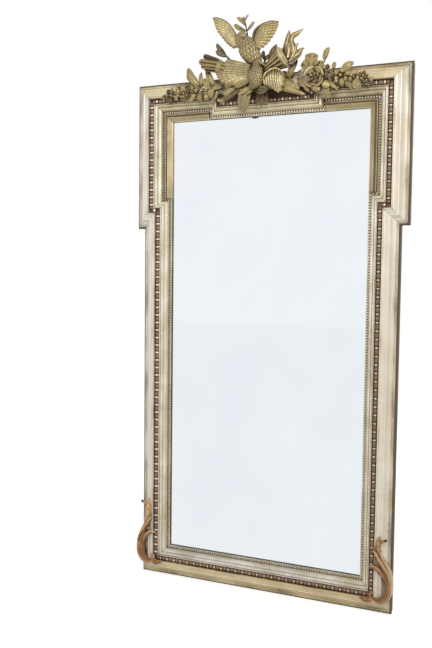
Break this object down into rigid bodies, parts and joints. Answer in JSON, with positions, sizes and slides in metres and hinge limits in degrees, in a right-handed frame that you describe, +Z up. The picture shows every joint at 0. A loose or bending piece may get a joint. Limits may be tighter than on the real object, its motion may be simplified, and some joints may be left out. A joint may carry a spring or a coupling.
{
  "type": "framed wall mirror",
  "caption": "Tall bevelled wall mirror in a carved gilt wood frame with eared upper corners, beaded frieze and a crest of doves, quiver, torch, rose and garlands.",
  "frame": {"origin": "centre of the frame's back plane, which lies on the wall; the crest is not counted in its height", "axes": "+X to the viewer's right, +Y into the wall, +Z up, so the glass faces -Y"},
  "size_m": [1.007, 0.1394, 2.018],
  "materials": {
    "outer_gilding": "worn gilding over cream gesso",
    "inner_gilding": "worn gilding over cream gesso",
    "frieze_bole": "dark brown bole",
    "bead_gilding": "gilding rubbed to the bole",
    "fill_gilding": "matt gilding",
    "scroll_gilding": "copper red gilding",
    "crest_gilding": "matt antique gilding",
    "carcass_wood": "bare aged softwood",
    "back_wood": "bare aged board",
    "mirror": "silvered plate with a bevel",
    "brass": "dull brass",
    "iron": "wrought iron"
  },
  "bodies": {
    "frame": {"back_board_lower": "back_wood", "back_board_upper": "back_wood", "bead_string_bottom": "bead_gilding", "bead_string_left": "bead_gilding", "bead_string_right": "bead_gilding", "bead_string_top": "bead_gilding", "carcass_rail_bottom": "carcass_wood", "carcass_rail_top": "carcass_wood", "carcass_stile_left": "carcass_wood", "carcass_stile_right": "carcass_wood", "corner_fill_left": "fill_gilding", "corner_fill_right": "fill_gilding", "corner_scroll_left": "scroll_gilding", "corner_scroll_right": "scroll_gilding", "crest_backing": "crest_gilding", "crest_leaves": "crest_gilding", "crest_strap": "iron", "ear_block_left": "carcass_wood", "ear_block_right": "carcass_wood", "frieze_board_bottom": "frieze_bole", "frieze_board_left": "frieze_bole", "frieze_board_right": "frieze_bole", "frieze_board_top": "frieze_bole", "garland_left": "crest_gilding", "garland_right": "crest_gilding", "hanger_plate_left": "brass", "hanger_plate_right": "brass", "hanger_screws": "brass", "inner_moulding_bottom": "inner_gilding", "inner_moulding_ear_left": "inner_gilding", "inner_moulding_ear_right": "inner_gilding", "inner_moulding_return_left": "inner_gilding", "inner_moulding_return_right": "inner_gilding", "inner_moulding_side_left": "inner_gilding", "inner_moulding_side_right": "inner_gilding", "inner_moulding_top_left": "inner_gilding", "inner_moulding_top_middle": "inner_gilding", "inner_moulding_top_right": "inner_gilding", "lower_dove": "crest_gilding", "mirror_plate": "mirror", "olive_sprig": "crest_gilding", "outer_moulding_bottom": "outer_gilding", "outer_moulding_ear_left": "outer_gilding", "outer_moulding_ear_right": "outer_gilding", "outer_moulding_return_left": "outer_gilding", "outer_moulding_return_right": "outer_gilding", "outer_moulding_side_left": "outer_gilding", "outer_moulding_side_right": "outer_gilding", "outer_moulding_top": "outer_gilding", "plate_wedges": "carcass_wood", "quiver": "crest_gilding", "quiver_arrows": "crest_gilding", "rose": "crest_gilding", "rose_leaves": "crest_gilding", "torch": "crest_gilding", "torch_flame": "crest_gilding", "upper_dove": "crest_gilding"},
    "ring_left": {"hanging_ring_left": "brass"},
    "ring_right": {"hanging_ring_right": "brass"}
  },
  "joints": [
    {"name": "ring_left_swing", "type": "hinge", "parent": "frame", "child": "ring_left", "pos_m": [-0.4255, -0.0042, 0.585], "axis": [1, 0, 0], "range_deg": [-4, 170]},
    {"name": "ring_right_swing", "type": "hinge", "parent": "frame", "child": "ring_right", "pos_m": [0.4255, -0.0042, 0.585], "axis": [1, 0, 0], "range_deg": [-4, 170]}
  ]
}
